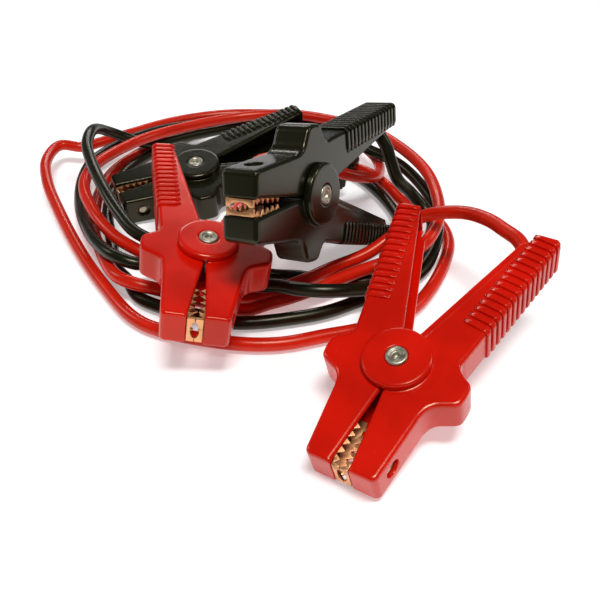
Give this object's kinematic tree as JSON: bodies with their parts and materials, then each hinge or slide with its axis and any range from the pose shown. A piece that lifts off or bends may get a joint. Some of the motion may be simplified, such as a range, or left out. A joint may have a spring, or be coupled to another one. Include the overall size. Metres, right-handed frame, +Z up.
{
  "type": "car jumper cable",
  "caption": "Red and black jumper leads, loosely coiled, with an insulated spring clamp with copper jaws at each end of each lead.",
  "frame": {"origin": "On the floor, under the middle of the box of the four clamps, without the leads", "axes": "+Z up from the floor, +X to the right of the picture, +Y away from its camera"},
  "size_m": [0.2976, 0.3693, 0.1008],
  "materials": {
    "red_shell": "gloss",
    "black_shell": "gloss",
    "red_cable": "satin",
    "black_cable": "satin",
    "copper": "satin",
    "steel": "satin"
  },
  "bodies": {
    "leads_and_cable_arms": {"red_lead": "red_cable", "black_lead": "black_cable", "red_front_cable_arm": "red_shell", "red_front_cable_jaw": "copper", "red_front_cable_jaw_rivet": "steel", "red_front_pivot_rivet": "steel", "red_left_cable_arm": "red_shell", "red_left_cable_jaw": "copper", "red_left_cable_jaw_rivet": "steel", "red_left_pivot_rivet": "steel", "black_centre_cable_arm": "black_shell", "black_centre_cable_jaw": "copper", "black_centre_cable_jaw_rivet": "steel", "black_centre_pivot_rivet": "steel", "black_rear_cable_arm": "black_shell", "black_rear_cable_jaw": "copper", "black_rear_cable_jaw_rivet": "steel", "black_rear_pivot_rivet": "steel"},
    "red_front_free": {"red_front_free_arm": "red_shell", "red_front_free_jaw": "copper", "red_front_free_jaw_rivet": "steel"},
    "red_left_free": {"red_left_free_arm": "red_shell", "red_left_free_jaw": "copper", "red_left_free_jaw_rivet": "steel"},
    "black_centre_free": {"black_centre_free_arm": "black_shell", "black_centre_free_jaw": "copper", "black_centre_free_jaw_rivet": "steel"},
    "black_rear_free": {"black_rear_free_arm": "black_shell", "black_rear_free_jaw": "copper", "black_rear_free_jaw_rivet": "steel"}
  },
  "joints": [
    {"name": "red_front_squeeze", "type": "hinge", "parent": "leads_and_cable_arms", "child": "red_front_free", "pos_m": [0.04168, -0.10512, 0.02398], "axis": [0.1929, 0.2077, -0.959], "range_deg": [0, 18], "stiffness_Nm_per_rad": 1.5, "springref_deg": -34.38},
    {"name": "red_left_squeeze", "type": "hinge", "parent": "leads_and_cable_arms", "child": "red_left_free", "pos_m": [-0.04712, -0.03412, 0.03468], "axis": [-0.1672, 0.0646, -0.9838], "range_deg": [0, 18], "stiffness_Nm_per_rad": 1.5, "springref_deg": -34.38},
    {"name": "black_centre_squeeze", "type": "hinge", "parent": "leads_and_cable_arms", "child": "black_centre_free", "pos_m": [0.00058, -0.02672, 0.06708], "axis": [0.862, -0.4739, 0.1797], "range_deg": [0, 15], "stiffness_Nm_per_rad": 1.5, "springref_deg": -34.38},
    {"name": "black_rear_squeeze", "type": "hinge", "parent": "leads_and_cable_arms", "child": "black_rear_free", "pos_m": [-0.06692, 0.08448, 0.01548], "axis": [0.0049, 0.1609, -0.987], "range_deg": [0, 18], "stiffness_Nm_per_rad": 1.5, "springref_deg": -34.38}
  ]
}
